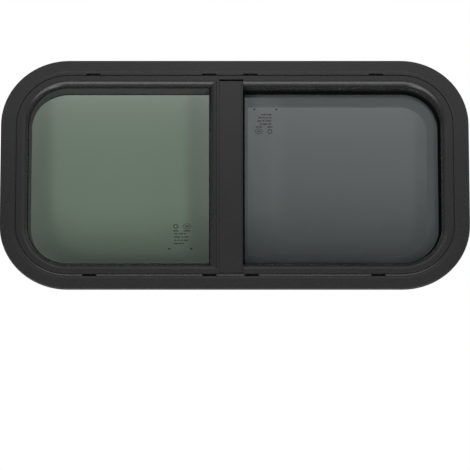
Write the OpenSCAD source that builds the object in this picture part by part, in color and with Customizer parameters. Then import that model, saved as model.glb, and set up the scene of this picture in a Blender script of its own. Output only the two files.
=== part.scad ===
// Horizontal sliding window for a caravan wall: a black aluminium frame with large round
// corners, one fixed pane, one sliding pane and a fly screen on the room side.
// X runs to the right as seen from outdoors, Y runs from outdoors into the room, Z is up.
// The origin lies where the flange meets the wall skin, at the middle of the bottom edge.
// Every frame section is drawn as [distance in from the flange edge, depth along Y].

/* [Overall] */
// Width over the flange
flange_w = 930; // [800:5:1300]
// Height over the flange
flange_h = 480; // [400:5:700]
// Radius of the flange corners
corner_r = 135; // [110:1:170]
// How far the flange laps over the wall
flange_lap = 15; // [10:0.5:20]
// Thickness of the caravan wall between flange and clamp ring
wall_t = 30; // [24:1:36]

/* [Frame section] */
// How far the flange face stands off the wall skin
flange_rise = 5; // [4:0.5:8]
// Thickness of the front plate
plate_t = 2.5; // [2:0.1:3.5]
// Thickness of the inner webs
web_t = 2; // [1.5:0.1:3]
// Gap between the wall cut-out and the frame body
cutout_gap = 4.5; // [0.5:0.1:6]
// Width of the flat land outside the drain channel
outer_land_w = 23.3; // [22:0.1:30]
// Width of the drain channel in the front face
channel_w = 6.3; // [5:0.1:9]
// Depth of the drain channel
channel_d = 0.3; // [0.2:0.1:1]
// Width of each of the channel's sloping sides
channel_slope_w = 1.3; // [1:0.1:2.4]
// Width of the ridge between the channel and the groove
ridge_w = 0.8; // [0.5:0.1:2]
// Width of the deep groove inside the drain channel
groove_w = 1.8; // [0.6:0.1:2.6]
// Depth of the deep groove
groove_d = 4.5; // [3:0.5:8]
// Thickness of the walls round the groove
groove_wall_t = 1.2; // [0.8:0.1:2]
// Width of the flat land inside the groove
inner_land_w = 9.3; // [8:0.1:20]
// Radius of the rounded lip around the panes
lip_r = 14; // [6:0.5:16]
// Width of the lip that rests on the wall skin
wall_lip_w = 2.5; // [2:0.1:4]
// Radius of the flange's outer edge
edge_r = 1.4; // [0.5:0.1:2]
// Depth of the glazing channel behind the lip
channel_floor_set = 10; // [8:0.5:13]
// Width of the web that takes the clamp screws
screw_web_w = 15.5; // [12:0.5:18]
// Length of the fins between the tracks
fin_l = 9; // [6:0.5:10]

/* [Drain slots] */
// Length of a drain slot
slot_l = 29; // [15:1:40]
// Height of a drain slot
slot_h = 4.8; // [2:0.1:6]
// Distance of the slots' middle line from the flange edge
slot_in = 29.6; // [27:0.1:32]
// Middles of the drain slots in the top rail
slot_top_x = [-282, -51, 31, 282];
// Middles of the drain slots in the bottom rail
slot_bottom_x = [-287, -50, 33.5, 283];

/* [Glass] */
// Thickness of each pane
glass_t = 4; // [3:0.5:5]
// Depth of the fixed pane behind the flange face
fixed_glass_set = 27.6; // [25:0.1:30]
// Gap between the planes of the two panes
pane_gap = 3.9; // [3.5:0.1:6]
// How far each pane stays off the floor of its channel
glass_edge_gap = 3; // [2:0.5:4]
// How far the rubber around the fixed pane shows inside the lip
gasket_show = 5.5; // [3:0.1:7]
// How far the same rubber shows beside the mullion
mullion_gasket_show = 0.7; // [0.6:0.1:7]
// How far the rubber's front edge reaches up the rounded lip
gasket_rise = 5.5; // [0:0.5:7]
// Thickness of the rubber between lip and fixed pane
gasket_t = 2; // [1.5:0.1:3]
// Thickness of the rubber behind the fixed pane
wedge_t = 1.4; // [1:0.1:2]

/* [Mullion] */
// Distance of the mullion recess's middle from the middle of the window
mullion_x = -9; // [-60:1:40]
// Width of the recess that takes the cover, from the left land to the right face
recess_w = 47; // [40:1:60]
// Width of the land beside the cover
mullion_land_w = 5.6; // [4:0.1:8]
// Width of the fine line between the rounded edge and the land
mullion_line_w = 0.8; // [0.4:0.1:1.2]
// Depth of that line
mullion_line_d = 2.2; // [0.5:0.1:2.6]
// Thickness of the cover strip
cover_t = 1.7; // [1.2:0.1:2]
// Gap beside the cover strip
cover_gap = 0.7; // [0.3:0.1:1.5]
// Width of the narrow band along the cover's right edge
cover_band_w = 3; // [2:0.5:6]
// Depth of the box behind the cover
mullion_box_d = 21.3; // [18:0.1:22]
// Top end of the cover, in from the flange edge
cover_top_in = 43.5; // [41:0.5:45]
// Bottom end of the cover, in from the flange edge
cover_bottom_in = 34.5; // [33:0.5:45]
// Gap that shows above the cover
cover_top_gap = 3.8; // [1:0.1:6]
// Gap that shows below the cover
cover_bottom_gap = 0.6; // [0.3:0.1:3]
// How far the seal shows to the right of the mullion
mullion_seal_show = 3.8; // [2:0.1:8]

/* [Sash] */
// Width of the stile on the sliding pane
stile_w = 20; // [16:1:30]
// Distance of the stile's left edge from the left land of the mullion
stile_set = 10.6; // [9:0.1:14]
// Thickness of the stile's wall behind the glass
stile_back_t = 2.5; // [2:0.1:4]
// Thickness of the stile's wall in front of the glass
stile_front_t = 0.9; // [0.6:0.1:1.4]
// Thickness of the runner liners
liner_t = 0.7; // [0.5:0.1:1]

/* [Fly screen] */
// Inner edge of the screen bars, in from the flange edge
screen_in = 82; // [74:1:100]
// Radius inside the screen's round corners
screen_corner_r = 53; // [46:1:60]
// Thickness of the screen bars
screen_t = 7.5; // [6:0.5:8]
// Gap between the sash stile and the screen bars
screen_gap = 1; // [0.5:0.1:2]
// Width of the screen's left bar
screen_stile_w = 22; // [20:1:40]
// Distance of the screen's left edge from the mullion's right face
screen_left_set = 12; // [4:1:14]
// Width of the groove that holds the mesh cord
spline_w = 4; // [3:0.1:5]
// Depth of the groove that holds the mesh cord
spline_d = 3.2; // [2:0.1:4]
// Width of the rim between the groove and the mesh
spline_rim_w = 5; // [3:0.5:8]
// Thickness of the mesh
mesh_t = 0.6; // [0.4:0.1:1]

/* [Clamp ring] */
// Distance of the clamp ring's foot on the wall from the flange edge
clamp_foot_in = 11.2; // [5:0.1:12]
// Width of the foot
clamp_foot_w = 3; // [2:0.1:4]
// Thickness of the clamp ring's plate and leg
clamp_t = 2; // [1.5:0.1:3]
// Length of the leg, from the wall's inner face to the frame's screw web
clamp_leg_l = 16.5; // [12:0.5:20]
// Radius of the clamp ring's outer edge
clamp_edge_r = 1.8; // [0.5:0.1:1.9]
// Diameter of the clamp screw holes
clamp_hole_d = 4.5; // [3.5:0.1:6]
// Diameter of the countersinks round them
clamp_sink_d = 8.4; // [6:0.1:10]
// Depth of the countersinks
clamp_sink_h = 1.6; // [1:0.1:1.9]
// Diameter of the pilot holes in the frame
pilot_hole_d = 3.2; // [2.5:0.1:4]
// Distance of the inner pair of clamp screws from the middle
screw_near_x = 105; // [80:5:140]
// Distance of the outer pair of clamp screws from the middle
screw_far_x = 300; // [200:5:320]

/* [Latch] */
// Height of the latch housing
latch_h = 92; // [70:1:120]
// Depth of the latch housing
latch_d = 9; // [7:0.5:12]
// Height of the latch tongue
tongue_h = 16; // [10:1:24]
// Thickness of the latch tongue
tongue_t = 3; // [2:0.5:4]
// Height of the thumb lever
lever_h = 46; // [30:1:60]

/* [Hidden] */
$fn = 96;
// How far cutting shapes reach past what they cut
cut = 1;
// Running clearance of what slides
run_gap = 0.3;

// Places in from the flange edge
leg_in = flange_lap + cutout_gap;
channel_in = outer_land_w;
groove_in = channel_in + channel_w + ridge_w;
inner_land_in = groove_in + groove_w;
lip_in = inner_land_in + inner_land_w;
sight_in = lip_in + lip_r;
glass_sight_in = sight_in + gasket_show;
floor_in = sight_in - channel_floor_set;
fin_tip_in = floor_in + fin_l;
glass_edge_in = floor_in + glass_edge_gap;

// Places in depth
face_y = -flange_rise;
plate_back_y = face_y + plate_t;
fixed_y = face_y + fixed_glass_set;
fixed_back_y = fixed_y + glass_t;
lip_end_y = fixed_y - gasket_t;
sliding_y = fixed_back_y + pane_gap;
sliding_back_y = sliding_y + glass_t;
track_front_y = sliding_y - run_gap - liner_t;
track_back_y = sliding_back_y + run_gap + liner_t;
fin_front_y = fixed_back_y + wedge_t;
fin_t = track_front_y - fin_front_y;
stile_back_y = sliding_back_y + stile_back_t;
screen_y = stile_back_y + screen_gap;
screen_back_y = screen_y + screen_t;
rear_fin_y = screen_back_y + 2 * run_gap;
clamp_seat_y = wall_t + clamp_leg_l;
clamp_back_y = clamp_seat_y + clamp_t;
frame_back_y = max(rear_fin_y + fin_t, clamp_back_y) + 0.5;
strut_y = lip_end_y;

// Places across and up
center_z = flange_h / 2 - flange_lap / 2;
recess_left_x = mullion_x - recess_w / 2 + cover_band_w / 2;
mullion_right_x = recess_left_x + recess_w;
mullion_round_x = recess_left_x - mullion_land_w;
mullion_left_x = mullion_round_x - lip_r;
post_front_y = face_y + cover_t;
post_box_y = post_front_y + mullion_box_d + cover_t;
pocket_x = mullion_round_x - web_t;
stile_left_x = mullion_round_x + stile_set;
screen_left_x = mullion_right_x - screen_left_set;
cord_in = screen_in - spline_rim_w - spline_w;
cord_x = screen_left_x + screen_stile_w - spline_rim_w - spline_w;
straight_half_x = flange_w / 2 - corner_r;
straight_half_z = flange_h / 2 - corner_r;

// Turns a shape drawn flat, with depth upwards, so that it stands in the wall
module stand_up() {
    translate([0, 0, center_z])
        rotate([90, 0, 0])
            mirror([0, 0, 1])
                children();
}

// Puts a section at its radius from a corner's centre
module at_radius() {
    translate([corner_r, 0])
        mirror([1, 0])
            children();
}

// Sweeps a section once around the window
module around_window() {
    stand_up() {
        for (left = [0, 1], low = [0, 1])
            mirror([left, 0, 0])
                mirror([0, low, 0])
                    translate([straight_half_x, straight_half_z, 0])
                        rotate_extrude(angle = 90)
                            at_radius() children();
        for (left = [0, 1])
            mirror([left, 0, 0])
                translate([straight_half_x, 0, 0])
                    rotate([90, 0, 0])
                        linear_extrude(height = 2 * straight_half_z, center = true)
                            at_radius() children();
        for (low = [0, 1])
            mirror([0, low, 0])
                translate([0, straight_half_z, 0])
                    rotate([90, 0, 90])
                        linear_extrude(height = 2 * straight_half_x, center = true)
                            at_radius() children();
    }
}

// Sweeps a section along one straight rail, between two places across
module along_rail(x0, x1, low = 0) {
    stand_up()
        mirror([0, low, 0])
            translate([x0, straight_half_z, 0])
                rotate([90, 0, 90])
                    linear_extrude(height = x1 - x0)
                        at_radius() children();
}

// Extrudes a plan, drawn as [across, depth], between two distances in from the flange edge
module upright(top_in, bottom_in) {
    translate([0, 0, center_z - flange_h / 2 + bottom_in])
        linear_extrude(height = flange_h - top_in - bottom_in)
            children();
}

// The space between two places across, as deep and high as the window
module between(x0, x1) {
    translate([x0, face_y - cut, center_z - flange_h / 2 - cut])
        cube([x1 - x0, frame_back_y - face_y + 2 * cut, flange_h + 2 * cut]);
}

// A pane or sheet with the window's outline, set in from the flange edge
module sheet_in(inset, y0, t, r = 0) {
    w = flange_w - 2 * inset;
    h = flange_h - 2 * inset;
    rr = r > 0 ? r : corner_r - inset;
    stand_up()
        translate([0, 0, y0])
            linear_extrude(height = t) {
                square([w - 2 * rr, h], center = true);
                square([w, h - 2 * rr], center = true);
                for (sx = [-1, 1], sy = [-1, 1])
                    translate([sx * (w / 2 - rr), sy * (h / 2 - rr)])
                        circle(r = rr);
            }
}

// A square's corner without the quarter disc that rounds it
module round_off(r) {
    difference() {
        translate([-cut, -cut])
            square(r + cut);
        translate([r, r])
            circle(r = r);
    }
}

// The rounded lip and the wall behind it, as a section that starts at the inner land
module lip_section() {
    translate([0, face_y + lip_r])
        intersection() {
            difference() {
                circle(r = lip_r);
                circle(r = lip_r - plate_t);
            }
            translate([0, -lip_r])
                square(lip_r);
        }
    translate([lip_r - plate_t, face_y + lip_r])
        square([plate_t, lip_end_y - face_y - lip_r]);
}

module frame_section() {
    difference() {
        union() {
            translate([0, face_y])
                square([lip_in, plate_t]);
            translate([0, face_y])
                square([wall_lip_w, flange_rise]);
            translate([lip_in, 0])
                lip_section();
            translate([leg_in, face_y])
                square([web_t, clamp_seat_y - face_y]);
            translate([leg_in, clamp_seat_y - web_t])
                square([screw_web_w, web_t]);
            translate([leg_in, strut_y])
                square([floor_in - leg_in, web_t]);
            translate([groove_in - groove_wall_t, face_y])
                square([groove_w + 2 * groove_wall_t, groove_d + groove_wall_t]);
            translate([floor_in - web_t, face_y + plate_t / 2])
                square([web_t, frame_back_y - face_y - plate_t / 2]);
            for (y = [fin_front_y, track_back_y, rear_fin_y])
                translate([floor_in - web_t, y])
                    square([fin_l + web_t, fin_t]);
        }
        polygon([[channel_in, face_y],
            [channel_in, face_y - cut],
            [channel_in + channel_w, face_y - cut],
            [channel_in + channel_w, face_y],
            [channel_in + channel_w - channel_slope_w, face_y + channel_d],
            [channel_in + channel_slope_w, face_y + channel_d]]);
        translate([groove_in, face_y - cut])
            square([groove_w, groove_d + cut]);
        translate([0, face_y])
            round_off(edge_r);
    }
}

// The notch in the frame that takes the mullion, mitred along the lip
module mullion_notch(cover_in, cover_show, low) {
    stand_up()
        mirror([0, low, 0])
            translate([0, flange_h / 2, 0])
                mirror([0, 1, 0]) {
                    translate([recess_left_x, cover_in - cover_show, face_y - cut])
                        cube([recess_w + cover_gap, floor_in - cover_in + cover_show, plate_t + cut]);
                    translate([0, 0, face_y - cut])
                        linear_extrude(height = lip_end_y - face_y + 2 * cut)
                            polygon([[recess_left_x, floor_in],
                                [recess_left_x, lip_in],
                                [mullion_round_x, lip_in],
                                [mullion_left_x, sight_in],
                                [mullion_left_x, sight_in + cut],
                                [mullion_right_x + cover_gap, sight_in + cut],
                                [mullion_right_x + cover_gap, floor_in]]);
                }
}

// One drain slot through the front plate and the groove, with round ends
module drain_slot(x, low) {
    stand_up()
        mirror([0, low, 0])
            translate([x, flange_h / 2 - slot_in, face_y - cut])
                linear_extrude(height = groove_d + groove_wall_t + 2 * cut) {
                    square([slot_l - slot_h, slot_h], center = true);
                    for (side = [-1, 1])
                        translate([side * (slot_l - slot_h) / 2, 0])
                            circle(d = slot_h);
                }
}

// Puts a shape wherever a clamp screw sits, on the screw web's room side
module at_clamp_screws() {
    hole_in = leg_in + (web_t + screw_web_w) / 2;
    corner_reach = (corner_r - hole_in) * cos(45);
    stand_up()
        translate([0, 0, clamp_seat_y]) {
            for (low = [0, 1], left = [0, 1])
                mirror([0, low, 0])
                    mirror([left, 0, 0]) {
                        for (x = [screw_near_x, screw_far_x])
                            translate([x, flange_h / 2 - hole_in, 0])
                                children();
                        translate([straight_half_x + corner_reach, straight_half_z + corner_reach, 0])
                            children();
                    }
            for (side = [-1, 1])
                translate([side * (flange_w / 2 - hole_in), 0, 0])
                    children();
        }
}

// A countersunk hole through the clamp ring's plate
module sunk_hole() {
    flare = (clamp_sink_d - clamp_hole_d) / clamp_sink_h;
    translate([0, 0, -cut])
        cylinder(h = clamp_t + 2 * cut, d = clamp_hole_d);
    translate([0, 0, clamp_t - clamp_sink_h])
        cylinder(h = clamp_sink_h + cut, d1 = clamp_hole_d, d2 = clamp_sink_d + flare * cut);
}

module outer_frame() {
    color("#2b2c2d")
        difference() {
            around_window() frame_section();
            mullion_notch(cover_top_in, cover_top_gap, 0);
            mullion_notch(cover_bottom_in, cover_bottom_gap, 1);
            for (x = slot_top_x)
                drain_slot(x, 0);
            for (x = slot_bottom_x)
                drain_slot(x, 1);
            at_clamp_screws()
                translate([0, 0, -web_t - cut])
                    cylinder(h = web_t + 2 * cut, d = pilot_hole_d);
        }
}

// Foam tape between the flange and the wall skin
module wall_seal() {
    color("#3a3b3c")
        around_window()
            translate([wall_lip_w, plate_back_y])
                square([flange_lap - wall_lip_w, -plate_back_y]);
}

// A plate on the frame's screw web with a leg that splays out to its foot on the wall
module clamp_ring() {
    inner_edge_in = floor_in - web_t - run_gap;
    edge_in = leg_in - clamp_t - run_gap;
    color("#333435")
        difference() {
            around_window()
                difference() {
                    union() {
                        translate([edge_in, clamp_seat_y])
                            square([inner_edge_in - edge_in, clamp_t]);
                        polygon([[clamp_foot_in, wall_t],
                            [clamp_foot_in + clamp_foot_w, wall_t],
                            [edge_in + clamp_t, clamp_seat_y],
                            [edge_in, clamp_seat_y]]);
                    }
                    translate([edge_in, clamp_back_y])
                        mirror([0, 1])
                            round_off(clamp_edge_r);
                }
            at_clamp_screws() sunk_hole();
        }
}

// Left part of a shape swept around the window, up to the mullion
module left_of_mullion(x) {
    intersection() {
        children();
        between(-flange_w / 2 - cut, x);
    }
}

// Right part of a shape swept around the window, from a place across
module right_from(x) {
    intersection() {
        children();
        between(x, flange_w / 2 + cut);
    }
}

module fixed_glass() {
    color("#5f6f66", 0.7)
        left_of_mullion(pocket_x - glass_edge_gap / 2)
            sheet_in(glass_edge_in, fixed_y, glass_t);
}

// Section of the rubber in front of the fixed pane, from the lip's wall inwards
module gasket_section(show) {
    nose = 0.5;
    front_y = face_y + lip_r - gasket_rise;
    polygon([[0, front_y + nose],
        [nose, front_y],
        [show, fixed_y - nose],
        [show, fixed_y],
        [glass_edge_gap + gasket_t - channel_floor_set, fixed_y],
        [glass_edge_gap + gasket_t - channel_floor_set, lip_end_y],
        [0, lip_end_y]]);
}

// Section of the rubber behind the fixed pane, from the fin's tip inwards
module wedge_section(show) {
    lap = 5;
    polygon([[-lap, fixed_back_y],
        [show - 1, fixed_back_y],
        [show / 2, track_front_y],
        [0, track_front_y],
        [0, fin_front_y],
        [-lap, fin_front_y]]);
}

// A rubber round the fixed pane: first shape along the frame, second up the mullion's left side
module fixed_pane_rubber(set_in) {
    left_of_mullion(mullion_left_x)
        around_window()
            translate([set_in, 0])
                children(0);
    upright(set_in, set_in)
        translate([mullion_left_x, 0])
            mirror([1, 0])
                children(1);
}

module fixed_glass_gasket() {
    color("#1d1d1e")
        fixed_pane_rubber(sight_in) {
            gasket_section(gasket_show);
            gasket_section(mullion_gasket_show);
        }
}

module fixed_glass_wedge() {
    color("#1d1d1e")
        fixed_pane_rubber(fin_tip_in) {
            wedge_section(gasket_show);
            wedge_section(mullion_gasket_show);
        }
}

// Plan of the mullion: the rounded lip, the box, the pocket for the fixed pane
module mullion_plan() {
    difference() {
        translate([mullion_round_x, face_y])
            square([mullion_right_x - mullion_round_x, post_box_y - face_y]);
        translate([mullion_round_x, face_y - cut])
            square([mullion_line_w, mullion_line_d + cut]);
        translate([recess_left_x, face_y - cut])
            square([recess_w + cut, cover_t + cut]);
        translate([mullion_round_x, post_front_y + web_t])
            square([mullion_right_x - mullion_round_x - web_t, post_box_y - post_front_y - 2 * web_t]);
    }
    translate([mullion_round_x, 0])
        mirror([1, 0])
            lip_section();
    translate([pocket_x, plate_back_y])
        square([web_t, fin_front_y + fin_t - plate_back_y]);
    translate([mullion_left_x, fin_front_y])
        square([pocket_x - mullion_left_x, fin_t]);
}

// Cuts an upright's rounded lip to the frame's mitre at one end
module mitre_cut(low) {
    stand_up()
        mirror([0, low, 0])
            translate([0, flange_h / 2, face_y - cut])
                mirror([0, 1, 0])
                    linear_extrude(height = lip_end_y - face_y + cut)
                        polygon([[mullion_left_x - cut, min(lip_in, floor_in) - cut],
                            [mullion_left_x - cut, sight_in + cut],
                            [mullion_round_x, lip_in],
                            [recess_left_x, lip_in],
                            [recess_left_x, min(lip_in, floor_in) - cut]]);
}

module mullion_post() {
    color("#2b2c2d")
        difference() {
            union() {
                upright(floor_in, floor_in) mullion_plan();
                upright(lip_in, lip_in)
                    intersection() {
                        mullion_plan();
                        translate([mullion_left_x, face_y])
                            square([recess_left_x - mullion_left_x, lip_end_y - face_y]);
                    }
            }
            for (low = [0, 1])
                mitre_cut(low);
            for (low = [0, 1])
                stand_up()
                    mirror([0, low, 0])
                        translate([mullion_left_x - cut, flange_h / 2 - fin_tip_in, fin_front_y])
                            cube([mullion_round_x - mullion_left_x + 2 * cut, fin_l + cut, fin_t + cut]);
        }
}

module mullion_cover() {
    color("#2b2c2d")
        upright(cover_top_in, cover_bottom_in)
            difference() {
                translate([recess_left_x + cover_gap, face_y])
                    square([recess_w - cover_gap, cover_t]);
                translate([mullion_right_x - cover_band_w, face_y - cut])
                    square([cover_gap, cut + cover_t / 3]);
            }
}

// Pile seal between the mullion and the sliding pane
module mullion_seal() {
    color("#0c0c0d")
        upright(sight_in, sight_in)
            translate([mullion_right_x - 2 * mullion_seal_show, post_box_y])
                square([3 * mullion_seal_show, sliding_y - run_gap - post_box_y]);
}

module sliding_glass() {
    color("#5c646a", 0.7)
        right_from(stile_left_x + web_t)
            sheet_in(glass_edge_in, sliding_y, glass_t);
}

// Channel on the sliding pane's left edge
module sash_stile() {
    color("#2b2c2d")
        upright(fin_tip_in + gasket_t, fin_tip_in + gasket_t)
            difference() {
                translate([stile_left_x, sliding_y - stile_front_t])
                    square([stile_w, glass_t + stile_front_t + stile_back_t]);
                translate([stile_left_x + web_t, sliding_y])
                    square([stile_w, glass_t]);
            }
}

// Block on the end of the stile that runs in the track
module sash_guide(low) {
    color("#18191a")
        stand_up()
            mirror([0, low, 0])
                translate([stile_left_x, flange_h / 2 - fin_tip_in - gasket_t, sliding_y])
                    difference() {
                        cube([stile_w, fin_l + gasket_t - liner_t - run_gap, glass_t]);
                        translate([web_t, -cut, -cut])
                            cube([stile_w, fin_l + gasket_t - glass_edge_gap + cut, glass_t + 2 * cut]);
                    }
}

module sash_guide_top() {
    sash_guide(0);
}

module sash_guide_bottom() {
    sash_guide(1);
}

// Pile strip in front of the sliding pane, along its top, right and bottom edges
module sash_felt() {
    root_gap = 0.2;
    color("#0b0b0c")
        right_from(mullion_right_x + mullion_seal_show)
            around_window()
                polygon([[floor_in, lip_end_y],
                    [glass_sight_in, lip_end_y],
                    [glass_sight_in, fixed_back_y],
                    [glass_sight_in - gasket_t, sliding_y - run_gap],
                    [fin_tip_in + root_gap, sliding_y - run_gap],
                    [fin_tip_in + root_gap, fin_front_y],
                    [floor_in, fin_front_y]]);
}

// Section of the slippery liner in the sliding pane's track
module liner_section() {
    difference() {
        translate([floor_in, track_front_y])
            square([fin_l, track_back_y - track_front_y]);
        translate([floor_in + liner_t, track_front_y + liner_t])
            square([fin_l, track_back_y - track_front_y - 2 * liner_t]);
    }
}

module sash_runner_top() {
    color("#242526")
        along_rail(-straight_half_x, straight_half_x) liner_section();
}

module sash_runner_bottom() {
    color("#242526")
        along_rail(-straight_half_x, straight_half_x, 1) liner_section();
}

// The same channel round the right-hand jamb and its corners
module jamb_channel() {
    color("#1a1a1b")
        right_from(straight_half_x)
            around_window() liner_section();
}

// A box with its four upright edges rounded, standing on the stile's back
module rounded_box(w, h, d, r) {
    rotate([-90, 0, 0])
        linear_extrude(height = d) {
            square([w - 2 * r, h], center = true);
            square([w, h - 2 * r], center = true);
            for (sx = [-1, 1], sy = [-1, 1])
                translate([sx * (w / 2 - r), sy * (h / 2 - r)])
                    circle(r = r);
        }
}

module latch_housing() {
    lever_w = stile_w / 2;
    color("#18191a")
        difference() {
            translate([stile_left_x + stile_w / 2, stile_back_y, center_z])
                rounded_box(stile_w, latch_h, latch_d, 5);
            translate([stile_left_x + lever_w, stile_back_y + latch_d / 2, center_z])
                rounded_box(lever_w, lever_h + 2, latch_d, 3);
            translate([stile_left_x - cut, stile_back_y - cut, center_z - tongue_h / 2 - run_gap])
                cube([stile_w / 2 + cut, latch_d / 2 + 2 * cut, tongue_h + 2 * run_gap]);
        }
}

// Thumb lever in the housing's well, with the tongue that reaches past the stile to the mullion
module latch_lever() {
    lever_w = stile_w / 2 - 2 * run_gap;
    tongue_x = stile_left_x - tongue_t - run_gap;
    pad_y = stile_back_y + latch_d / 2;
    color("#202122") {
        translate([stile_left_x + stile_w / 2, pad_y, center_z])
            rounded_box(lever_w, lever_h, latch_d / 2 + 3, 2.5);
        translate([tongue_x, stile_back_y + run_gap, center_z - tongue_h / 2])
            cube([stile_w / 2 + tongue_t, tongue_t, tongue_h]);
        translate([tongue_x, post_box_y + 2 * tongue_t / 3, center_z - tongue_h / 2])
            cube([tongue_t, stile_back_y - post_box_y, tongue_h]);
        translate([stile_left_x + stile_w / 4, stile_back_y + run_gap, center_z - tongue_h / 2])
            cube([tongue_t, latch_d / 2, tongue_h]);
    }
}

// Strike on the mullion's back that the tongue hooks behind
module latch_keeper() {
    tongue_x = stile_left_x - tongue_t - run_gap;
    plate_h = 2 * tongue_h;
    lip_t = 2;
    color("#55585a")
        translate([tongue_x - lip_t - run_gap, post_box_y, center_z - plate_h / 2]) {
            cube([lip_t + tongue_t + 2 * lip_t, lip_t / 2, plate_h]);
            cube([lip_t, 3 * lip_t, plate_h]);
        }
}

// Section of the screen's bars: a tongue in the track, the bar and the groove for the mesh cord
module screen_section() {
    third = screen_t / 3;
    translate([floor_in + run_gap, screen_y + third])
        square([sight_in - floor_in, third]);
    difference() {
        translate([sight_in, screen_y])
            square([screen_in - sight_in, screen_t]);
        translate([cord_in, screen_back_y - spline_d])
            square([spline_w, spline_d + cut]);
    }
}

// A bent bar: the window's outline outside, a tighter round corner inside
module screen_frame() {
    color("#3d4347")
        difference() {
            right_from(screen_left_x)
                around_window() screen_section();
            sheet_in(screen_in, screen_y - cut, screen_t + 2 * cut, screen_corner_r);
            upright(cord_in, cord_in)
                translate([cord_x, screen_back_y - spline_d])
                    square([spline_w, spline_d + cut]);
        }
}

module screen_stile() {
    color("#3d4347")
        upright(screen_in, screen_in)
            difference() {
                translate([screen_left_x, screen_y])
                    square([screen_stile_w, screen_t]);
                translate([cord_x, screen_back_y - spline_d])
                    square([spline_w, spline_d + cut]);
            }
}

module screen_mesh() {
    mesh_in = screen_in - spline_rim_w;
    color("#4a5054", 0.6)
        right_from(screen_left_x + screen_stile_w - spline_rim_w)
            sheet_in(mesh_in, screen_back_y, mesh_t);
}

module screen_spline() {
    color("#101011") {
        right_from(cord_x)
            around_window()
                translate([cord_in, screen_back_y - spline_d])
                    square([spline_w, spline_d]);
        upright(cord_in, cord_in)
            translate([cord_x, screen_back_y - spline_d])
                square([spline_w, spline_d]);
    }
}

// Finger tab on the screen's left bar
module screen_pull() {
    pull_w = 10;
    pull_h = 60;
    color("#202122")
        translate([screen_left_x + pull_w / 2 + 2, screen_back_y, center_z])
            difference() {
                rounded_box(pull_w, pull_h, 4, 3);
                translate([0, 2.2, 0])
                    rounded_box(pull_w - 5, pull_h - 8, 4, 2);
            }
}

outer_frame();
wall_seal();
clamp_ring();
fixed_glass();
fixed_glass_gasket();
fixed_glass_wedge();
mullion_post();
mullion_cover();
mullion_seal();
sliding_glass();
sash_stile();
sash_guide_top();
sash_guide_bottom();
sash_felt();
sash_runner_top();
sash_runner_bottom();
jamb_channel();
latch_housing();
latch_lever();
latch_keeper();
screen_frame();
screen_stile();
screen_mesh();
screen_spline();
screen_pull();
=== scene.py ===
"""Finishes, woven mesh, screws and a small studio for a caravan sliding window."""

import math

import bmesh
import bpy
from bpy.props import FloatProperty, FloatVectorProperty, IntProperty, PointerProperty
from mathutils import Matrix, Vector


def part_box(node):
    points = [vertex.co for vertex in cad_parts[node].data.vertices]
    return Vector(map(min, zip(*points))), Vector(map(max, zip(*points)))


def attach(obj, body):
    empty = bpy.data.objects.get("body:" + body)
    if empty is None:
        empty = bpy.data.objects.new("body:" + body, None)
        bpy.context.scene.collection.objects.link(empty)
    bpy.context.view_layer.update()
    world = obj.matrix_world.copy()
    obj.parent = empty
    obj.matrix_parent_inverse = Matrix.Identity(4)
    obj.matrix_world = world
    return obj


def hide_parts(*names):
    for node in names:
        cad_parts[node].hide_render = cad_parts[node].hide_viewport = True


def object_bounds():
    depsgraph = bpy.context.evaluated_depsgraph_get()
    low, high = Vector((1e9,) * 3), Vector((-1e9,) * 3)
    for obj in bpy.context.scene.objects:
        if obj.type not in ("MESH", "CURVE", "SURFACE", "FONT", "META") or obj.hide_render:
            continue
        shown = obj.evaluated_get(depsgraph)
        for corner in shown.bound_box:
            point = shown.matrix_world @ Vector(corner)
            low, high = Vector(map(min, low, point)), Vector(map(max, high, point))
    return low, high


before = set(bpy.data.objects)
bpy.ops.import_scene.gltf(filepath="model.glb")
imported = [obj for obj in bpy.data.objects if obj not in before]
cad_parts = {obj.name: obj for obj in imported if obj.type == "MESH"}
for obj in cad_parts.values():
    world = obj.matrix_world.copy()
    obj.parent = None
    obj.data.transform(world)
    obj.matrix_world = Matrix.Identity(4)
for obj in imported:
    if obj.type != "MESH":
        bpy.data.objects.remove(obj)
cad_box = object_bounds()

bl_info = {
    "name": "Caravan window",
    "version": (1, 0, 0),
    "blender": (4, 5, 0),
    "location": "View3D > Sidebar > Caravan Window",
    "description": "Dresses a sliding caravan window and sets up its studio",
    "category": "Object",
}

MM = 0.001
BODY = "root"

# Width and height of the photograph in pixels
PHOTO_SIDE = 470

# Places and sizes read from the CAD frame
FLANGE_LO, FLANGE_HI = (Vector(corner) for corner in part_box("outer_frame"))
CENTRE = (FLANGE_LO + FLANGE_HI) / 2
FACE_CENTRE = Vector((CENTRE.x, FLANGE_LO.y, CENTRE.z))
HALF_W = FLANGE_HI.x - CENTRE.x
HALF_H = FLANGE_HI.z - CENTRE.z
RING_ROOM_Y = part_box("clamp_ring")[1][1]

# Outer radius of the flange's corners
CORNER_R = 135 * MM

# Radius that a powder coat gives to sharp edges
COAT_EDGE_R = 0.4 * MM

# Grain of the coat on the fly screen's bars
BAR_GRAIN = 0.5 * MM

# Where the printed marks stand, from the window's middle
FIXED_MARK_AT = (-108 * MM, -122.5 * MM)
SLIDING_MARK_AT = (61 * MM, 125 * MM)

# Steps round one wire of the mesh, and round one printed ring
WIRE_SIDES = 4
RING_SIDES = 40

# Lamps: directions in degrees, distances and sizes in metres
KEY_AZIMUTHS = (-29, 25)
KEY_ELEVATION = -25
SKIRT_ELEVATION = -45
KEY_DISTANCE = 6.0
KEY_SIZE = (1.0, 1.0)
SKIRT_SIZE = (1.0, 2.6)
REAR_AZIMUTHS = (130, 230)
REAR_ELEVATION = 35
REAR_DISTANCE = 3.0
REAR_SIZE = (1.2, 1.2)

# Strength of the world: the least that lights the window, what the coat mirrors, and how much
# less of it comes from below
AMBIENT = 0.105
MIRRORED = 0.3
MIRRORED_FALL = 0.15

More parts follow.
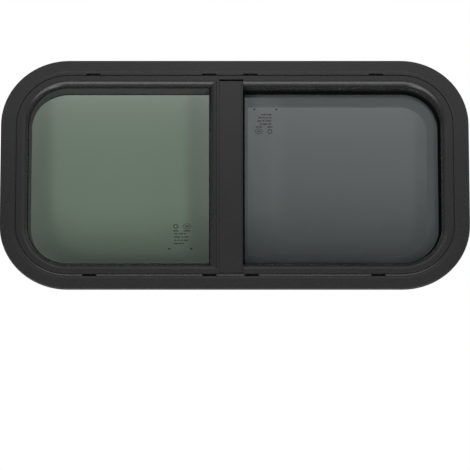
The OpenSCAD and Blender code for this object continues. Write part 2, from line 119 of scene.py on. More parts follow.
# Shades of the floor and of the card behind the window. The card has a little painted light low on
# its left half and painted shade, darker, low on its right half
FLOOR_SHADE = 0.88
BACKING_SHADE = 0.85
BACKING_PAINTED_LIGHT = 0.05
BACKING_PAINTED_SHADE = 0.35

# Brightness of the grey card at its middle, how it changes over its height and its width, and
# the glow along its middle
CARD_GREY = 0.73
CARD_CLIMB = 1.45
CARD_SLANT = 0.25
CARD_GLOW = 0.28


class Socket:
    """A node socket that takes part in ordinary arithmetic."""

    def __init__(self, graph, link):
        self.graph = graph
        self.link = link

    def _maths(self, operation, first, second):
        return self.graph.node("ShaderNodeMath", {"operation": operation}, {0: first, 1: second})

    def __add__(self, other):
        return self._maths("ADD", self, other)

    def __sub__(self, other):
        return self._maths("SUBTRACT", self, other)

    def __rsub__(self, other):
        return self._maths("SUBTRACT", other, self)

    def __mul__(self, other):
        return self._maths("MULTIPLY", self, other)

    __radd__ = __add__
    __rmul__ = __mul__

    def smooth(self, low, high):
        """0 below low, 1 above high and a soft slope between."""
        return self.graph.node("ShaderNodeMapRange", {"interpolation_type": "SMOOTHSTEP"},
                               {"Value": self, "From Min": low, "From Max": high})


class Graph:
    """A node tree in which one method adds any node."""

    def __init__(self, owner):
        self.owner = owner
        owner.use_nodes = True
        self.tree = owner.node_tree
        self.tree.nodes.clear()

    def node(self, kind, settings=None, sockets=None, out=0):
        made = self.tree.nodes.new(kind)
        for name, value in (settings or {}).items():
            setattr(made, name, value)
        for name, value in (sockets or {}).items():
            if isinstance(value, Socket):
                self.tree.links.new(value.link, made.inputs[name])
            else:
                made.inputs[name].default_value = value
        return Socket(self, made.outputs[out]) if len(made.outputs) else None

    def place(self):
        return self.node("ShaderNodeTexCoord", out="Object")

    def along(self, axis):
        """How far along one of the object's own axes a point lies."""
        return self.node("ShaderNodeSeparateXYZ", {}, {0: self.place()}, out=axis)

    def noise(self, size, detail=3.0, stretch=(1, 1, 1)):
        """Noise with features about size metres across, drawn out along an axis by stretch."""
        scale = tuple(1 / (size * s) for s in stretch)
        where = self.node("ShaderNodeMapping", {}, {"Vector": self.place(), "Scale": scale})
        return self.node("ShaderNodeTexNoise", {}, {"Vector": where, "Scale": 1.0, "Detail": detail})

    def cells(self, size):
        return self.node("ShaderNodeTexVoronoi", {}, {"Vector": self.place(), "Scale": 1 / size})

    def blend(self, factor, low, high):
        """A colour between two others."""
        return self.node("ShaderNodeMix", {"data_type": "RGBA"},
                         {0: factor, 6: (*low, 1), 7: (*high, 1)}, out=2)

    def grey(self, tone):
        """A grey from black at 0 to white at 1."""
        return self.blend(tone, (0, 0, 0), (1, 1, 1))

    def bump(self, height, strength, depth, base=None):
        """Normals roughened by a height; base holds other normals to start from."""
        sockets = {"Strength": strength, "Distance": depth, "Height": height}
        if base:
            sockets["Normal"] = base
        return self.node("ShaderNodeBump", {}, sockets)

    def soft_edges(self, radius):
        """Normals that round every sharp edge by a small radius."""
        return self.node("ShaderNodeBevel", {"samples": 6}, {"Radius": radius})

    def light_path(self, name):
        return self.node("ShaderNodeLightPath", out=name)

    def mix_shaders(self, factor, first, second):
        return self.node("ShaderNodeMixShader", {}, {0: factor, 1: first, 2: second})

    def principled(self, **sockets):
        named = {name.replace("_", " "): value for name, value in sockets.items()}
        return self.node("ShaderNodeBsdfPrincipled", {}, named)

    def finish(self, surface):
        """Gives the material its surface and hands the material back."""
        self.node("ShaderNodeOutputMaterial", {}, {"Surface": surface})
        return self.owner


def shades(colour, spread):
    """A darker and a lighter version of a colour."""
    return tuple(c * (1 - spread) for c in colour), tuple(c * (1 + spread) for c in colour)


def powder_coat(name, colour, roughness, grain):
    """Satin powder coat: a fine orange-peel skin with faint changes of tone."""
    g = Graph(bpy.data.materials.new(name))
    tone = g.noise(60 * MM, 2.0)
    skin = g.bump(g.noise(grain, 2.0), 0.02, 0.03 * MM, g.soft_edges(COAT_EDGE_R))
    return g.finish(g.principled(
        Base_Color=g.blend(tone, *shades(colour, 0.12)),
        Roughness=g.noise(9 * MM, 4.0) * 0.04 + (roughness - 0.02),
        Specular_IOR_Level=0.55,
        Normal=skin))


def tinted_glass(name, tint):
    """Toughened glass that lets the lamps through, with a faint waviness from its heating."""
    g = Graph(bpy.data.materials.new(name))
    wave = g.noise(110 * MM, 1.0)
    film = g.noise(35 * MM, 5.0).smooth(0.45, 0.8)
    pane = g.principled(
        Base_Color=g.blend(film * 0.5, tint, tuple(c * 0.985 for c in tint)),
        Roughness=0.0,
        IOR=1.5,
        Transmission_Weight=1.0,
        Normal=g.bump(wave, 0.12, 0.25 * MM))
    clear = g.node("ShaderNodeBsdfTransparent", {}, {"Color": (*tint, 1)})
    lamp = g.light_path("Is Shadow Ray") + g.light_path("Is Diffuse Ray")
    return g.finish(g.mix_shaders(lamp, pane, clear))


def extruded_rubber(name, colour):
    """Matt rubber with the fine draw lines and bloom of an extrusion."""
    g = Graph(bpy.data.materials.new(name))
    bloom = g.noise(25 * MM, 4.0)
    lines = g.noise(0.5 * MM, 2.0, (40, 1, 1)) + g.noise(0.5 * MM, 2.0, (1, 1, 40))
    return g.finish(g.principled(
        Base_Color=g.blend(bloom, *shades(colour, 0.25)),
        Roughness=bloom * 0.1 + 0.82,
        Specular_IOR_Level=0.2,
        Normal=g.bump(lines, 0.25, 0.05 * MM)))


def woven_pile(name, colour):
    """Dense black pile: deep, without gloss, ruffled across its tips."""
    g = Graph(bpy.data.materials.new(name))
    tips = g.noise(0.35 * MM, 3.0) + g.noise(6 * MM, 3.0) * 0.5
    return g.finish(g.principled(
        Base_Color=g.blend(g.noise(4 * MM, 3.0), *shades(colour, 0.4)),
        Roughness=g.noise(2 * MM, 2.0) * 0.1 + 0.9,
        Specular_IOR_Level=0.0,
        Normal=g.bump(tips, 0.7, 0.4 * MM)))


def foam_tape(name, colour):
    """Closed-cell foam, with its small cells cut open."""
    g = Graph(bpy.data.materials.new(name))
    cells = g.cells(0.9 * MM)
    return g.finish(g.principled(
        Base_Color=g.blend(cells, *shades(colour, 0.35)),
        Roughness=cells * 0.1 + 0.82,
        Specular_IOR_Level=0.2,
        Normal=g.bump(cells, 0.8, 0.3 * MM)))


def moulded_plastic(name, colour):
    """Spark-eroded grain on moulded plastic."""
    g = Graph(bpy.data.materials.new(name))
    grain = g.cells(0.55 * MM) + g.noise(0.3 * MM, 2.0) * 0.5
    return g.finish(g.principled(
        Base_Color=g.blend(g.noise(18 * MM, 2.0), *shades(colour, 0.12)),
        Roughness=g.noise(5 * MM, 3.0) * 0.1 + 0.42,
        Specular_IOR_Level=0.45,
        Normal=g.bump(grain, 0.4, 0.06 * MM)))


def brushed_steel(name, colour):
    """Bare steel brushed along its length."""
    g = Graph(bpy.data.materials.new(name))
    lines = g.noise(0.12 * MM, 3.0, (1, 1, 60))
    return g.finish(g.principled(
        Base_Color=g.blend(g.noise(8 * MM, 3.0), *shades(colour, 0.08)),
        Metallic=1.0,
        Roughness=lines * 0.16 + 0.26,
        Normal=g.bump(lines, 0.25, 0.02 * MM)))


def fired_print(name, colour):
    """Ceramic print fired on to glass: thin, matt and slightly mottled."""
    g = Graph(bpy.data.materials.new(name))
    mottle = g.noise(0.8 * MM, 4.0)
    return g.finish(g.principled(
        Base_Color=g.blend(mottle, *shades(colour, 0.3)),
        Roughness=mottle * 0.15 + 0.55,
        Specular_IOR_Level=0.3,
        Normal=g.bump(mottle, 0.3, 0.01 * MM)))


def dress(material, *nodes):
    """Gives carried-over CAD nodes their finish."""
    for name in nodes:
        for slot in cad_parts[name].material_slots:
            slot.material = material


def add_piece(name, mesh, material, replaced=(), smooth=True):
    """Turns a bmesh into a piece that rides on the window."""
    data = bpy.data.meshes.new(name)
    mesh.normal_update()
    mesh.to_mesh(data)
    mesh.free()
    data.materials.append(material)
    for face in data.polygons:
        face.use_smooth = smooth
    piece = bpy.data.objects.new(name, data)
    bpy.context.scene.collection.objects.link(piece)
    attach(piece, BODY)
    if replaced:
        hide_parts(*replaced)
    return piece


def half_span(offset, inset, half_along, half_across):
    """Half the span of the window's round-cornered outline, set in by inset.

    It is measured across the window, at an offset from its middle along the other way.
    """
    reach = abs(offset) - (half_along - CORNER_R)
    radius = CORNER_R - inset
    if reach <= 0:
        return half_across - inset
    return half_across - CORNER_R + math.sqrt(max(radius ** 2 - reach ** 2, 0))


def add_wire(mesh, start, end, radius):
    """A straight wire between two points, with its flat ends hidden in the cord."""
    along = (end - start).normalized()
    side = along.cross(Vector((0, 1, 0))).normalized()
    up = along.cross(side)
    rings = []
    for point in (start, end):
        ring = []
        for step in range(WIRE_SIDES):
            turn = 2 * math.pi * (step + 0.5) / WIRE_SIDES
            ring.append(mesh.verts.new(point + radius * (math.cos(turn) * side + math.sin(turn) * up)))
        rings.append(ring)
    for step in range(WIRE_SIDES):
        after = (step + 1) % WIRE_SIDES
        mesh.faces.new((rings[0][step], rings[0][after], rings[1][after], rings[1][step]))
    mesh.faces.new(rings[0][::-1])
    mesh.faces.new(rings[1])


def add_turned(mesh, centre, profile, sides):
    """A shape turned about a line along Y through centre; profile is [radius, reach outwards]."""
    rings = []
    for radius, reach in profile:
        if radius == 0:
            rings.append([mesh.verts.new(centre + Vector((0, reach, 0)))])
            continue
        ring = []
        for step in range(sides):
            turn = 2 * math.pi * step / sides
            spoke = Vector((math.cos(turn) * radius, reach, math.sin(turn) * radius))
            ring.append(mesh.verts.new(centre + spoke))
        rings.append(ring)
    for low, high in zip(rings, rings[1:]):
        for step in range(sides):
            after = (step + 1) % sides
            if len(high) == 1:
                mesh.faces.new((low[after], low[step], high[0]))
            elif len(low) == 1:
                mesh.faces.new((low[0], high[step], high[after]))
            else:
                mesh.faces.new((low[after], low[step], high[step], high[after]))


def add_ring(mesh, centre, radii, line):
    """A flat oval ring that faces outdoors; radii is (half width, half height)."""
    inner, outer = [], []
    for step in range(RING_SIDES):
        turn = 2 * math.pi * step / RING_SIDES
        for ring, extra in ((inner, 0), (outer, line)):
            ring.append(mesh.verts.new(centre + Vector((math.cos(turn) * (radii[0] + extra), 0,
                                                        math.sin(turn) * (radii[1] + extra)))))
    for step in range(RING_SIDES):
        after = (step + 1) % RING_SIDES
        mesh.faces.new((inner[step], outer[step], outer[after], inner[after]))


def add_dash(mesh, centre, width, height):
    """A flat dash with clipped corners that faces outdoors."""
    clip = height / 4
    half_w, half_h = width / 2, height / 2
    corners = []
    for x, z in ((1, -1), (1, 1), (-1, 1), (-1, -1)):
        near = Vector((x * (half_w - clip), 0, z * half_h))
        far = Vector((x * half_w, 0, z * (half_h - clip)))
        corners += [near, far] if x * z < 0 else [far, near]
    mesh.faces.new([mesh.verts.new(centre + corner) for corner in corners])


class FrameFinish(bpy.types.PropertyGroup):
    """Powder coat on the frame, the mullion and the clamp ring"""
    colour: FloatVectorProperty(
        name="Coat colour", description="Colour of the black powder coat",
        subtype="COLOR", size=3, min=0, max=1, default=(0.0295, 0.0296, 0.0299))
    roughness: FloatProperty(
        name="Roughness", description="Gloss of the coat, from mirror to matt",
        min=0, max=1, default=0.27)
    grain: FloatProperty(
        name="Grain", description="Size of the coat's orange peel",
        subtype="DISTANCE", unit="LENGTH", min=0.1 * MM, max=5 * MM, default=0.6 * MM)


class GlassFinish(bpy.types.PropertyGroup):
    """Tint of the two panes"""
    fixed_tint: FloatVectorProperty(
        name="Fixed pane", description="What each face of the fixed pane lets through",
        subtype="COLOR", size=3, min=0, max=1, default=(0.704, 0.781, 0.709))
    sliding_tint: FloatVectorProperty(
        name="Sliding pane", description="What each face of the sliding pane lets through",
        subtype="COLOR", size=3, min=0, max=1, default=(0.677, 0.709, 0.705))


class MarkBuild(bpy.types.PropertyGroup):
    """The plain marks printed on the two panes"""
    spread: FloatProperty(
        name="Row spread", description="How much further apart the rows of a mark stand",
        min=0.8, max=1.4, default=1.12)
    line: FloatProperty(
        name="Line", description="Width of the rings' lines",
        subtype="DISTANCE", unit="LENGTH", min=0.3 * MM, max=3 * MM, default=1.8 * MM)
    dash: FloatProperty(
        name="Dash height", description="Height of one dash",
        subtype="DISTANCE", unit="LENGTH", min=0.5 * MM, max=4 * MM, default=2.3 * MM)
    dark: FloatVectorProperty(
        name="Dark print", description="Colour of the mark on the fixed pane",
        subtype="COLOR", size=3, min=0, max=1, default=(0.012, 0.015, 0.013))
    faint: FloatVectorProperty(
        name="Faint print", description="Colour of the mark on the sliding pane",
        subtype="COLOR", size=3, min=0, max=1, default=(0.06, 0.07, 0.07))


class SealFinish(bpy.types.PropertyGroup):
    """Rubber, pile, foam and plastic around the panes"""
    rubber: FloatVectorProperty(
        name="Rubber", description="Colour of the glazing rubbers",
        subtype="COLOR", size=3, min=0, max=1, default=(0.075, 0.075, 0.0765))
    pile: FloatVectorProperty(
        name="Pile", description="Colour of the pile strips",
        subtype="COLOR", size=3, min=0, max=1, default=(0.009, 0.009, 0.0092))
    foam: FloatVectorProperty(
        name="Foam", description="Colour of the foam tape under the flange",
        subtype="COLOR", size=3, min=0, max=1, default=(0.05, 0.05, 0.052))
    plastic: FloatVectorProperty(
        name="Plastic", description="Colour of the latch, runners and tabs",
        subtype="COLOR", size=3, min=0, max=1, default=(0.02, 0.02, 0.021))
    strike: FloatVectorProperty(
        name="Strike", description="Colour of the latch's steel strike",
        subtype="COLOR", size=3, min=0, max=1, default=(0.45, 0.45, 0.46))


class ScreenBuild(bpy.types.PropertyGroup):
    """The fly screen behind the sliding pane"""
    pitch: FloatProperty(
        name="Mesh pitch", description="Distance between the wires of the mesh",
        subtype="DISTANCE", unit="LENGTH", min=0.8 * MM, max=4 * MM, default=1.4 * MM)
    wire: FloatProperty(
        name="Wire", description="Thickness of one wire",
        subtype="DISTANCE", unit="LENGTH", min=0.1 * MM, max=0.6 * MM, default=0.28 * MM)
    wire_colour: FloatVectorProperty(
        name="Wire colour", description="Colour of the mesh",
        subtype="COLOR", size=3, min=0, max=1, default=(0.34, 0.345, 0.35))
    bar_colour: FloatVectorProperty(
        name="Bar colour", description="Colour of the screen's bars",
        subtype="COLOR", size=3, min=0, max=1, default=(0.33, 0.34, 0.36))
    bar_roughness: FloatProperty(
        name="Bar roughness", description="Gloss of the bars' coat, from mirror to matt",
        min=0, max=1, default=0.65)


class ScrewBuild(bpy.types.PropertyGroup):
    """Screws that pull the clamp ring towards the flange"""
    head: FloatProperty(
        name="Head", description="Diameter of the raised screw heads",
        subtype="DISTANCE", unit="LENGTH", min=5 * MM, max=10 * MM, default=8.2 * MM)
    rise: FloatProperty(
        name="Rise", description="How far a head stands above the ring",
        subtype="DISTANCE", unit="LENGTH", min=0.3 * MM, max=1 * MM, default=0.9 * MM)
    inset: FloatProperty(
        name="Inset", description="Distance of the screws from the flange edge",
        subtype="DISTANCE", unit="LENGTH", min=20 * MM, max=32 * MM, default=28.25 * MM)
    sides: IntProperty(
        name="Sides", description="Steps round each head", min=12, max=48, default=28)
    colour: FloatVectorProperty(
        name="Screw colour", description="Colour of the screws' coat",
        subtype="COLOR", size=3, min=0, max=1, default=(0.03, 0.03, 0.032))


class StudioSetup(bpy.types.PropertyGroup):
    """Camera, lamps and cards"""
    tilt: FloatProperty(
        name="Tilt", description="How far below the window's middle the camera stands",
        subtype="ANGLE", unit="ROTATION", default=math.radians(19.5))
    distance: FloatProperty(
        name="Distance", description="From the camera to the window",
        subtype="DISTANCE", unit="LENGTH", min=2, max=30, default=10.7)
    seen_width: FloatProperty(
        name="Width seen", description="Width of the picture at the window",
        subtype="DISTANCE", unit="LENGTH", min=0.5, max=5, default=0.9316)
    lift: FloatProperty(
        name="Lift", description="How far the window stands above the picture's middle, in photo pixels",
        min=-200, max=200, default=61.0)
    drift: FloatProperty(
        name="Drift", description="How far the window stands left of the picture's middle, in photo pixels",
        min=-200, max=200, default=0.19)
    key: FloatProperty(
        name="Key lamps", description="Power of each of the two key lamps",
        subtype="POWER", unit="POWER", min=0, default=23)
    skirt: FloatProperty(
        name="Skirt lamps", description="Power of each tall lamp under the key lamps",
        subtype="POWER", unit="POWER", min=0, default=48)
    sky: FloatProperty(
        name="Light from above", description="Strength of the soft light from straight overhead",
        min=0, max=5, default=0.5)
    ground: FloatProperty(
        name="Light from below", description="Strength of the soft light from underneath",
        min=0, max=5, default=0.25)
    highlight: FloatProperty(
        name="Highlight", description="Brightness of the card that the rounded lip mirrors",
        min=0, max=20, default=3.0)
    card_gap: FloatProperty(
        name="Card gap", description="From the window's back to the white card behind it",
        subtype="DISTANCE", unit="LENGTH", min=5 * MM, max=1, default=45 * MM)
    leak: FloatProperty(
        name="Gap lamp", description="Power of the light that falls between the window and the card",
        subtype="POWER", unit="POWER", min=0, default=0.03)
    rear: FloatProperty(
        name="Rear lamps", description="Power of each lamp on the room side",
        subtype="POWER", unit="POWER", min=0, default=26)


class WindowSettings(bpy.types.PropertyGroup):
    """All the sizes and colours of the window's dressing"""
    coat: PointerProperty(type=FrameFinish)
    glass: PointerProperty(type=GlassFinish)
    marks: PointerProperty(type=MarkBuild)
    seals: PointerProperty(type=SealFinish)
    screen: PointerProperty(type=ScreenBuild)
    screws: PointerProperty(type=ScrewBuild)
    studio: PointerProperty(type=StudioSetup)


def settings():
    return bpy.context.scene.caravan_window


class CARAVAN_OT_frame_finish(bpy.types.Operator):
    """Coat the frame, the mullion, the stile and the clamp ring"""
    bl_idname = "caravan.frame_finish"
    bl_label = "Frame Finish"

    def execute(self, context):
        coat = settings().coat
        black = powder_coat("black_coat", coat.colour, coat.roughness, coat.grain)
        dress(black, "outer_frame", "mullion_post", "mullion_cover", "sash_stile")
        # The ring's coat is a little lighter and coarser, and more matt
        lighter, coarser, more_matt = 1.1, 1.2, 0.28
        ring = powder_coat("ring_coat", [c * lighter for c in coat.colour],
                           coat.roughness + more_matt, coat.grain * coarser)
        dress(ring, "clamp_ring")
        return {"FINISHED"}


class CARAVAN_OT_glass(bpy.types.Operator):
    """Tint the fixed and the sliding pane"""
    bl_idname = "caravan.glass"
    bl_label = "Glass"

    def execute(self, context):
        glass = settings().glass
        dress(tinted_glass("green_pane", tuple(glass.fixed_tint)), "fixed_glass")
        dress(tinted_glass("grey_pane", tuple(glass.sliding_tint)), "sliding_glass")
        return {"FINISHED"}


class CARAVAN_OT_marks(bpy.types.Operator):
    """Print a plain mark of rings and dashes in a corner of each pane"""
    bl_idname = "caravan.marks"
    bl_label = "Pane Marks"

    def execute(self, context):
        marks = settings().marks
        dark = fired_print("dark_print", marks.dark)
        faint = fired_print("faint_print", marks.faint)
        self.mark("fixed_pane_mark", "fixed_glass", FIXED_MARK_AT, 1, dark, "green_glass")
        self.mark("sliding_pane_mark", "sliding_glass", SLIDING_MARK_AT, -1, faint, "grey_glass")
        return {"FINISHED"}

    @staticmethod
    def mark(name, pane, place, turn, material, slot):
        """One mark, upright or turned upside down, just in front of a pane."""
        marks = settings().marks
        film = 0.02 * MM
        centre = Vector((CENTRE.x + place[0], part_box(pane)[0][1] - film, CENTRE.z + place[1]))
        mesh = bmesh.new()

        def at(x, z):
            """A place on the mark, in millimetres from its middle."""
            return centre + Vector((turn * x * MM, 0, turn * z * marks.spread * MM))

        left, right, top, caption = -9, 13, 20, 11.5
        add_ring(mesh, at(left, top), (3.2 * MM, 3.2 * MM), marks.line)
        add_ring(mesh, at(right, top), (7 * MM, 4.6 * MM), marks.line * 0.6)
        add_dash(mesh, at(right, top), 8 * MM, marks.dash)
        add_dash(mesh, at(left, caption), 11 * MM, marks.dash)
        add_dash(mesh, at(right, caption), 13 * MM, marks.dash)
        row_start, space = -12, 1.6
        for height, lengths in ((6, (7, 9, 4)), (0, (12, 5, 8)), (-6, (5, 4, 6, 7)), (-12, (8, 6, 3))):
            x = row_start
            for length in lengths:
                add_dash(mesh, at(x + length / 2, height), length * MM, marks.dash)
                x += length + space
        for x in (-22, 22):
            add_dash(mesh, at(x, -22), 4.5 * MM, marks.dash * 1.4)
        add_piece(name, mesh, material, smooth=False)


class CARAVAN_OT_seals(bpy.types.Operator):
    """Finish the rubbers, pile strips, foam tape, runners and guides"""
    bl_idname = "caravan.seals"
    bl_label = "Seals and Runners"

    def execute(self, context):
        seals = settings().seals
        dress(extruded_rubber("glazing_rubber", seals.rubber), "fixed_glass_gasket",
              "fixed_glass_wedge", "jamb_channel", "screen_spline")
        dress(woven_pile("black_pile", seals.pile), "sash_felt", "mullion_seal")
        dress(foam_tape("foam_tape", seals.foam), "wall_seal")
        dress(moulded_plastic("runner_plastic", seals.plastic), "sash_runner_top",
              "sash_runner_bottom", "sash_guide_top", "sash_guide_bottom")
        return {"FINISHED"}


class CARAVAN_OT_screen(bpy.types.Operator):
    """Weave the fly mesh and finish its bars"""
    bl_idname = "caravan.screen"
    bl_label = "Fly Screen"

    def execute(self, context):
        screen = settings().screen
        bars = powder_coat("screen_coat", screen.bar_colour, screen.bar_roughness, BAR_GRAIN)
        dress(bars, "screen_frame", "screen_stile")
        lo, hi = (Vector(corner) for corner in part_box("screen_mesh"))
        inset = HALF_W - (hi.x - CENTRE.x)
        radius = screen.wire / 2
        mesh = bmesh.new()
        first_layer = lo.y + radius
        second_layer = first_layer + screen.wire * 0.8
        for step in range(int((hi.x - lo.x) / screen.pitch)):
            x = lo.x + (step + 0.5) * screen.pitch
            reach = half_span(x - CENTRE.x, inset, HALF_W, HALF_H)
            add_wire(mesh, Vector((x, first_layer, CENTRE.z - reach)),
                     Vector((x, first_layer, CENTRE.z + reach)), radius)
        for step in range(int((hi.z - lo.z) / screen.pitch)):
            z = lo.z + (step + 0.5) * screen.pitch
            reach = half_span(z - CENTRE.z, inset, HALF_H, HALF_W)
            add_wire(mesh, Vector((lo.x, second_layer, z)),
                     Vector((CENTRE.x + reach, second_layer, z)), radius)
        wire = moulded_plastic("mesh_wire", screen.wire_colour)
        add_piece("woven_mesh", mesh, wire, ["screen_mesh"], smooth=False)
        return {"FINISHED"}


class CARAVAN_OT_latch(bpy.types.Operator):
    """Finish the latch, its strike and the screen's finger tab"""
    bl_idname = "caravan.latch"
    bl_label = "Latch"

    def execute(self, context):
        seals = settings().seals
        dress(moulded_plastic("latch_plastic", seals.plastic), "latch_housing", "latch_lever",
              "screen_pull")
        dress(brushed_steel("strike_steel", seals.strike), "latch_keeper")
        return {"FINISHED"}


class CARAVAN_OT_screws(bpy.types.Operator):
    """Set a raised-head screw in every hole of the clamp ring"""
    bl_idname = "caravan.screws"
    bl_label = "Clamp Screws"

    def execute(self, context):
        screws = settings().screws
        mesh = bmesh.new()
        radius = screws.head / 2
        shank_r, shank_l = radius * 0.55, 1.2 * MM
        dip_r, dip_floor_r, dip_l = radius * 0.42, radius * 0.3, 0.6 * MM
        dip_point_l = 0.9 * MM
        shank = [(shank_r, -shank_l)]
        dome = [(radius * math.cos(a), screws.rise * math.sin(a))
                for a in (math.radians(d) for d in range(0, 61, 15))]
        dip = [(dip_r, screws.rise * 0.9), (dip_floor_r, -dip_l), (0, -dip_point_l)]
        for spot in self.spots(screws.inset):
            add_turned(mesh, spot, shank + dome + dip, screws.sides)
        black = moulded_plastic("screw_black", screws.colour)
        add_piece("clamp_screws", mesh, black)
        return {"FINISHED"}

    @staticmethod
    def spots(inset):
        """Middles of the screw heads, on the ring's room side."""
        near, far = 105 * MM, 300 * MM
        diagonal = (CORNER_R - inset) * math.cos(math.radians(45))
        places = [(side * x, up * (HALF_H - inset))
                  for side in (-1, 1) for up in (-1, 1) for x in (near, far)]
        places += [(side * (HALF_W - CORNER_R + diagonal), up * (HALF_H - CORNER_R + diagonal))
                   for side in (-1, 1) for up in (-1, 1)]
        places += [(side * (HALF_W - inset), 0) for side in (-1, 1)]
        return [Vector((CENTRE.x + x, RING_ROOM_Y, CENTRE.z + z)) for x, z in places]


def add_card(name, centre, facing, width, height):
    """A flat stage card whose front looks along facing."""
    mesh = bmesh.new()
    bmesh.ops.create_grid(mesh, x_segments=1, y_segments=1, size=0.5)
    data = bpy.data.meshes.new(name)
    mesh.to_mesh(data)
    mesh.free()
    card = bpy.data.objects.new(name, data)
    card.scale = (width, height, 1)
    card.location = centre
    card.rotation_euler = Vector(facing).to_track_quat("Z", "Y").to_euler()
    bpy.context.scene.collection.objects.link(card)
    return card


def hide_from(card, *rays):
    """Keeps a stage card out of sight of some kinds of rays."""
    for kind in rays:
        setattr(card, "visible_" + kind, False)


def paint_front(card, name, tone, also_clear=None):
    """Paints a card's front matt; its back is clear, and all of it for rays that also_clear names."""
    g = Graph(bpy.data.materials.new(name))
    white = g.principled(Base_Color=g.grey(tone(g)), Roughness=0.9, Specular_IOR_Level=0.0)
    clear = g.node("ShaderNodeBsdfTransparent", {}, {"Color": (1, 1, 1, 1)})
    away = g.node("ShaderNodeNewGeometry", out="Backfacing")
    if also_clear:
        away = g.node("ShaderNodeMath", {"operation": "MAXIMUM"},
                      {0: away, 1: g.light_path(also_clear)})
    card.data.materials.append(g.finish(g.mix_shaders(away, white, clear)))


def light_up(card, name, tone, strength):
    """Makes a card glow, with a tone from 0 to 1 over its face."""
    g = Graph(bpy.data.materials.new(name))
    glow = g.node("ShaderNodeEmission", {}, {"Color": g.grey(tone(g)), "Strength": strength})
    card.data.materials.append(g.finish(glow))


def add_lamp(name, azimuth, elevation, distance, size, power):
    """A soft box, sized (width, height), that faces the window from a direction in degrees."""
    a, e = math.radians(azimuth), math.radians(elevation)
    way = Vector((math.sin(a) * math.cos(e), -math.cos(a) * math.cos(e), math.sin(e)))
    data = bpy.data.lights.new(name, "AREA")
    data.shape = "RECTANGLE"
    data.size, data.size_y = size
    data.energy = power
    lamp = bpy.data.objects.new(name, data)
    lamp.location = FACE_CENTRE + way * distance
    lamp.rotation_euler = way.to_track_quat("Z", "Y").to_euler()
    lamp.visible_camera = False
    bpy.context.scene.collection.objects.link(lamp)
    return lamp


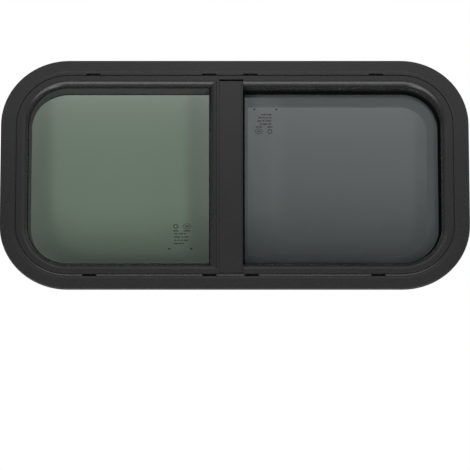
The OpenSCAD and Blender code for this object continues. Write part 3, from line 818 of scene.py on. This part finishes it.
class CARAVAN_OT_studio(bpy.types.Operator):
    """Set up the camera, the lamps, the floor and the cards"""
    bl_idname = "caravan.studio"
    bl_label = "Studio"

    def execute(self, context):
        studio = settings().studio
        context.scene.view_settings.view_transform = "Standard"
        self.camera(context, studio)
        self.world(context, studio)
        self.floor()
        self.backing_card(studio)
        self.reflection_card()
        self.highlight_card(studio)
        for azimuth in KEY_AZIMUTHS:
            add_lamp("key_lamp", azimuth, KEY_ELEVATION, KEY_DISTANCE, KEY_SIZE, studio.key)
            add_lamp("skirt_lamp", azimuth, SKIRT_ELEVATION, KEY_DISTANCE, SKIRT_SIZE, studio.skirt)
        for azimuth in REAR_AZIMUTHS:
            add_lamp("rear_lamp", azimuth, REAR_ELEVATION, REAR_DISTANCE, REAR_SIZE, studio.rear)
        self.gap_lamp(studio)
        return {"FINISHED"}

    @staticmethod
    def camera(context, studio):
        data = bpy.data.cameras.new("camera")
        data.lens = data.sensor_width * studio.distance / studio.seen_width
        camera = bpy.data.objects.new("camera", data)
        back = Vector((0, -math.cos(studio.tilt), -math.sin(studio.tilt)))
        up = Vector((0, -math.sin(studio.tilt), math.cos(studio.tilt)))
        pixel = studio.seen_width / PHOTO_SIDE
        camera.location = FACE_CENTRE + back * studio.distance
        aim = FACE_CENTRE - up * studio.lift * pixel + Vector((studio.drift * pixel, 0, 0))
        camera.rotation_euler = (camera.location - aim).to_track_quat("Z", "Y").to_euler()
        data.clip_end = 100
        context.scene.collection.objects.link(camera)
        context.scene.camera = camera

    @staticmethod
    def world(context, studio):
        """White where it is seen, directly or through the panes, and soft where it lights."""
        world = bpy.data.worlds.new("studio_world")
        context.scene.world = world
        g = Graph(world)
        direct = 1 - g.light_path("Glossy Depth").smooth(0, 1)
        seen = g.light_path("Is Camera Ray") + g.light_path("Is Transmission Ray") * direct
        gloss = g.light_path("Is Glossy Ray") * (1 - seen)
        way = g.node("ShaderNodeTexCoord", out="Generated")
        up = g.node("ShaderNodeSeparateXYZ", {}, {0: way}, out="Z")
        down = up * -1
        lit = up.smooth(0.8, 0.97) * studio.sky + down.smooth(0.1, 0.8) * studio.ground + AMBIENT
        mirrored = MIRRORED - down.smooth(0.5, 0.65) * MIRRORED_FALL
        strength = seen + gloss * mirrored + (1 - seen - gloss) * lit
        light = g.node("ShaderNodeBackground", {}, {"Color": (1, 1, 1, 1), "Strength": strength})
        g.node("ShaderNodeOutputWorld", {}, {"Surface": light})

    @staticmethod
    def floor():
        """A pale floor under the window, open to a camera and lamps below it."""
        clearance, side = 0.5 * MM, 40
        card = add_card("floor", (0, 0, FLANGE_LO.z - clearance), (0, 0, 1), side, side)
        paint_front(card, "floor_white", lambda g: FLOOR_SHADE)
        hide_from(card, "shadow", "glossy", "diffuse")

    @staticmethod
    def backing_card(studio):
        """The white surface that lies behind the window and shows through its panes, with painted light and
        painted shade low down.
        """
        width, height = 2.0, 1.4
        place = (CENTRE.x, cad_box[1][1] + studio.card_gap, CENTRE.z)
        card = add_card("backing_card", place, (0, -1, 0), width, height)

        # Painted shade low on the card's right half and a little painted light low on its left half
        def tone(g):
            low = (g.along("Y") * -1).smooth(-0.04, 0.11)
            right = g.along("X").smooth(-0.01, 0.01)
            return low * (BACKING_PAINTED_LIGHT - right * BACKING_PAINTED_SHADE) + BACKING_SHADE

        paint_front(card, "backing_white", tone, also_clear="Is Camera Ray")
        hide_from(card, "shadow", "glossy")

    @staticmethod
    def gap_lamp(studio):
        """Light that falls from above on to the card behind the window."""
        size, below_top = (0.9, 0.02), 12 * MM
        lamp = add_lamp("gap_lamp", 0, 0, 1.0, size, studio.leak)
        lamp.location = (CENTRE.x, cad_box[1][1] + studio.card_gap / 2, FLANGE_HI.z - below_top)
        lamp.rotation_euler = (0, 0, 0)

    @staticmethod
    def highlight_card(studio):
        """A white card low in front of the window, for the rounded lip to mirror."""
        below, distance = math.radians(20), 4.0
        width, height = 9.0, 2.1
        way = Vector((0, -math.cos(below), -math.sin(below)))
        card = add_card("highlight_card", FACE_CENTRE + way * distance, -way, width, height)

        def tone(g):
            """White with soft ends, and a tenth darker on the window's right."""
            left = g.along("X")
            right = left * -1
            return (left.smooth(-0.5, -0.2) * right.smooth(-0.5, -0.2)
                    * (1 - right.smooth(-0.02, 0.02) * 0.1))

        light_up(card, "highlight_white", tone, studio.highlight)
        hide_from(card, "camera", "diffuse", "transmission", "shadow", "volume_scatter")

    @staticmethod
    def reflection_card():
        """A grey card above the camera, for the panes and the coat to mirror."""
        forward, low, high, width = 1.5, 0.3, 1.5, 3.0
        centre = FACE_CENTRE + Vector((0, -forward, (low + high) / 2))
        card = add_card("reflection_card", centre, (0, 1, 0), width, high - low)
        strength = 2.0

        def tone(g):
            """Brighter upwards and to the window's right, with a glow along the middle."""
            left, up = g.along("X"), g.along("Y")
            middle = (1 - (left * left).smooth(0.0003, 0.0018)) * up.smooth(-0.44, -0.34)
            return (up * CARD_CLIMB - left * CARD_SLANT + middle * CARD_GLOW + CARD_GREY) * (1 / strength)

        light_up(card, "reflection_grey", tone, strength)
        hide_from(card, "camera", "diffuse", "shadow", "volume_scatter")


OPERATORS = (CARAVAN_OT_frame_finish, CARAVAN_OT_glass, CARAVAN_OT_marks, CARAVAN_OT_seals,
             CARAVAN_OT_screen, CARAVAN_OT_latch, CARAVAN_OT_screws, CARAVAN_OT_studio)


class CARAVAN_PT_window(bpy.types.Panel):
    """Lists the window's pieces and its studio"""
    bl_idname = "CARAVAN_PT_window"
    bl_label = "Caravan Window"
    bl_space_type = "VIEW_3D"
    bl_region_type = "UI"
    bl_category = "Caravan Window"

    def draw(self, context):
        for operator in OPERATORS:
            self.layout.operator(operator.bl_idname)
        window = settings()
        for group in (window.coat, window.glass, window.marks, window.seals, window.screen,
                      window.screws, window.studio):
            box = self.layout.box()
            for name in group.__annotations__:
                box.prop(group, name)


CLASSES = (FrameFinish, GlassFinish, MarkBuild, SealFinish, ScreenBuild, ScrewBuild, StudioSetup,
           WindowSettings, *OPERATORS, CARAVAN_PT_window)


def register():
    for each in CLASSES:
        bpy.utils.register_class(each)
    bpy.types.Scene.caravan_window = PointerProperty(type=WindowSettings)


def unregister():
    del bpy.types.Scene.caravan_window
    for each in reversed(CLASSES):
        bpy.utils.unregister_class(each)


def main():
    register()
    bpy.ops.caravan.frame_finish()
    bpy.ops.caravan.glass()
    bpy.ops.caravan.marks()
    bpy.ops.caravan.seals()
    bpy.ops.caravan.screen()
    bpy.ops.caravan.latch()
    bpy.ops.caravan.screws()
    bpy.ops.caravan.studio()


if __name__ == "__main__":
    main()
